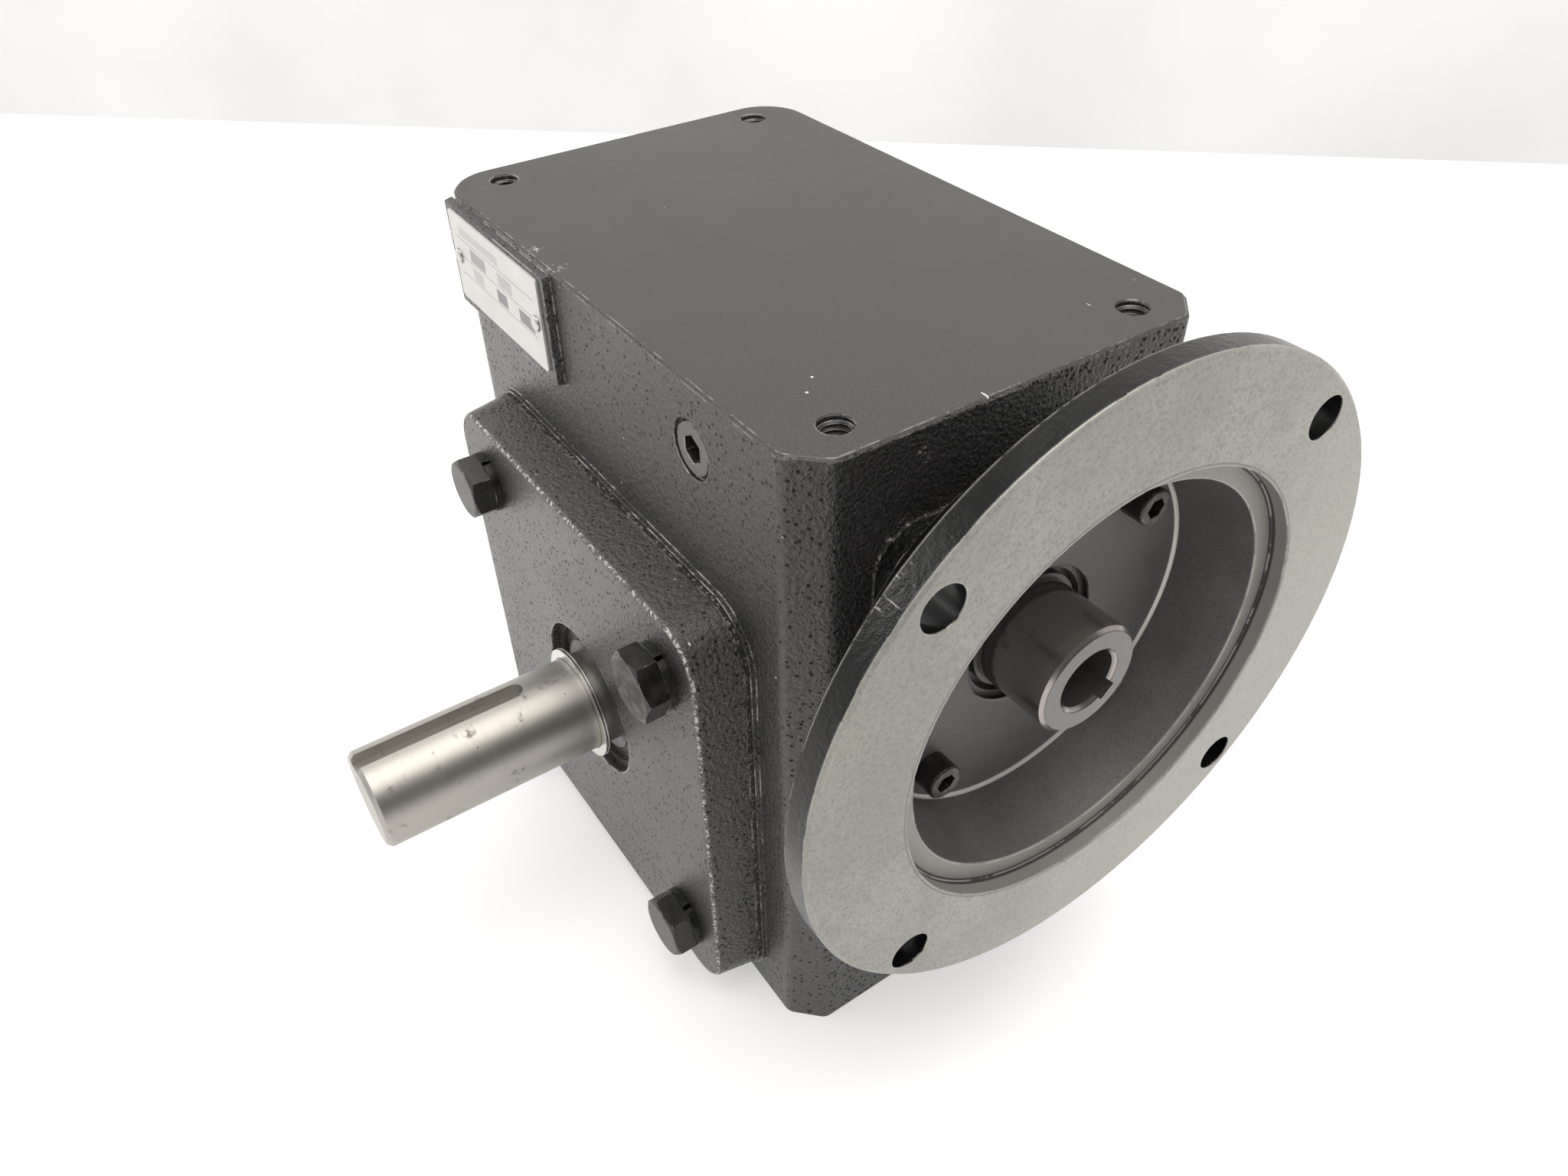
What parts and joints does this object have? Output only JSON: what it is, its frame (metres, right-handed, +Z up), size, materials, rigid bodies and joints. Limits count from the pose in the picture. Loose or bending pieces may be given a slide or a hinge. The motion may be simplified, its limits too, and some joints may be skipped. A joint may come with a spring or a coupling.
{
  "type": "worm gear reducer",
  "caption": "Right-angle worm gear reducer with a square-necked round motor flange, hollow input quill and one keyed output shaft.",
  "frame": {"origin": "middle of the housing's underside", "axes": "+Z up, +X towards the motor, output shaft towards -Y"},
  "size_m": [0.2138, 0.2227, 0.2201],
  "materials": {
    "black_cast_iron": "semi-gloss black paint on castings, machined faces bare",
    "gasket_paper": "matte",
    "black_fasteners": "black oxide",
    "oil_seal_rubber": "matte",
    "ground_steel": "ground",
    "spring_steel": "bright",
    "dark_steel": "dark oxide",
    "bare_cast_iron": "machined",
    "bronze": "machined bronze",
    "plug_metal": "painted over",
    "plate_metal": "satin",
    "bearing_steel": "polished",
    "cage_brass": "satin"
  },
  "bodies": {
    "case": {"housing": "black_cast_iron", "output_cover": "black_cast_iron", "cover_gasket": "gasket_paper", "cover_bolts": "black_fasteners", "lock_washers": "black_fasteners", "output_seal": "oil_seal_rubber", "end_snap_ring": "spring_steel", "end_plug": "plug_metal", "motor_adapter": "black_cast_iron", "adapter_gasket": "gasket_paper", "adapter_screws": "black_fasteners", "input_seal": "oil_seal_rubber", "oil_plugs": "plug_metal", "nameplate": "plate_metal", "nameplate_pins": "plate_metal", "output_front_outer_race": "bearing_steel", "output_front_balls": "bearing_steel", "output_front_cage": "cage_brass", "output_rear_outer_race": "bearing_steel", "output_rear_balls": "bearing_steel", "output_rear_cage": "cage_brass", "worm_front_outer_race": "bearing_steel", "worm_front_balls": "bearing_steel", "worm_front_cage": "cage_brass", "worm_rear_outer_race": "bearing_steel", "worm_rear_balls": "bearing_steel", "worm_rear_cage": "cage_brass"},
    "output": {"output_shaft": "ground_steel", "shaft_snap_ring": "spring_steel", "wheel_key": "ground_steel", "wheel_hub": "bare_cast_iron", "wheel_rim": "bronze", "spacer_sleeve": "ground_steel", "output_front_inner_race": "bearing_steel", "output_rear_inner_race": "bearing_steel"},
    "worm": {"worm_shaft": "dark_steel", "worm_snap_ring": "spring_steel", "worm_front_inner_race": "bearing_steel", "worm_rear_inner_race": "bearing_steel"}
  },
  "joints": [
    {"name": "output_spin", "type": "hinge", "parent": "case", "child": "output", "pos_m": [0, 0, 0.0756], "axis": [0, 1, 0], "continuous": true},
    {"name": "worm_spin", "type": "hinge", "parent": "case", "child": "worm", "pos_m": [0, 0, 0.1376], "axis": [1, 0, 0], "continuous": true}
  ],
  "couplings": [
    {"joint": "worm_spin", "follows": "output_spin", "ratio": -20}
  ]
}
